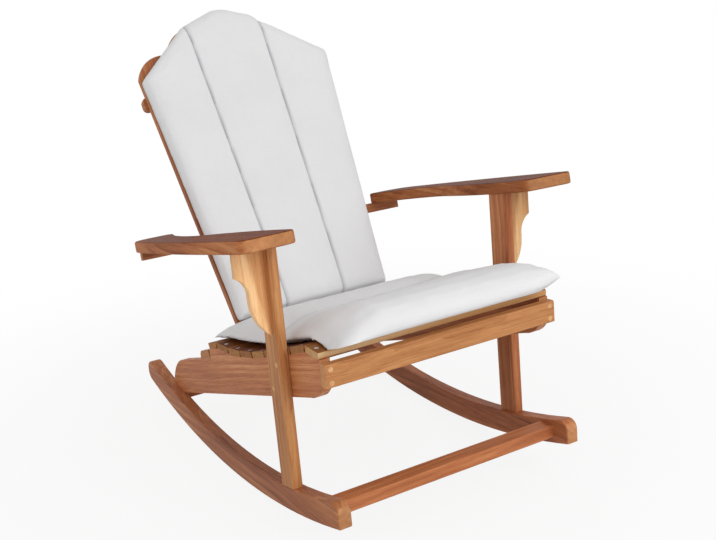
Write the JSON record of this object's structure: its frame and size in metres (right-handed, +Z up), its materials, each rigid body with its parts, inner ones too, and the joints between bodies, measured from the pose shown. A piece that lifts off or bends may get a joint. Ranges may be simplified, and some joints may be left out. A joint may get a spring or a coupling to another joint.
{
  "type": "rocking adirondack chair",
  "caption": "Rocking wooden garden chair with slatted seat, fanned slat back, wide arms on bracketed legs, curved rockers and loose padded seat and back cushions.",
  "frame": {"origin": "on the floor, midway between the rockers, where they touch it when the chair stands at rest", "axes": "+X across the chair to the sitter's left, +Y to the rear, +Z up; the front edge of the seat faces -Y"},
  "size_m": [0.7764, 1.0312, 0.968],
  "materials": {
    "frame_wood": "oiled, satin",
    "slat_wood": "oiled, satin",
    "bracket_wood": "oiled, satin",
    "dowel_wood": "oiled, satin",
    "screw_steel": "brushed",
    "cushion_fabric": "matt woven"
  },
  "bodies": {
    "root": {"apron_plugs": "dowel_wood", "arm_bracket_left": "bracket_wood", "arm_bracket_right": "bracket_wood", "arm_left": "frame_wood", "arm_rail": "frame_wood", "arm_right": "frame_wood", "back_cushion": "cushion_fabric", "back_slat_centre": "slat_wood", "back_slat_outer_left": "slat_wood", "back_slat_outer_right": "slat_wood", "back_slat_screws": "screw_steel", "back_slat_second_left": "slat_wood", "back_slat_second_right": "slat_wood", "frame_dowels": "dowel_wood", "frame_screws": "screw_steel", "front_apron": "frame_wood", "front_leg_left": "frame_wood", "front_leg_right": "frame_wood", "front_seat_slat": "slat_wood", "front_stretcher": "frame_wood", "leg_plugs": "dowel_wood", "lower_back_rail": "frame_wood", "rear_seat_slat": "slat_wood", "rear_stretcher": "frame_wood", "rocker_left": "frame_wood", "rocker_right": "frame_wood", "seat_cushion": "cushion_fabric", "seat_slat_five": "slat_wood", "seat_slat_four": "slat_wood", "seat_slat_one": "slat_wood", "seat_slat_screws": "screw_steel", "seat_slat_seven": "slat_wood", "seat_slat_six": "slat_wood", "seat_slat_three": "slat_wood", "seat_slat_two": "slat_wood", "side_rail_left": "frame_wood", "side_rail_right": "frame_wood", "upper_back_batten": "frame_wood"}
  },
  "joints": []
}
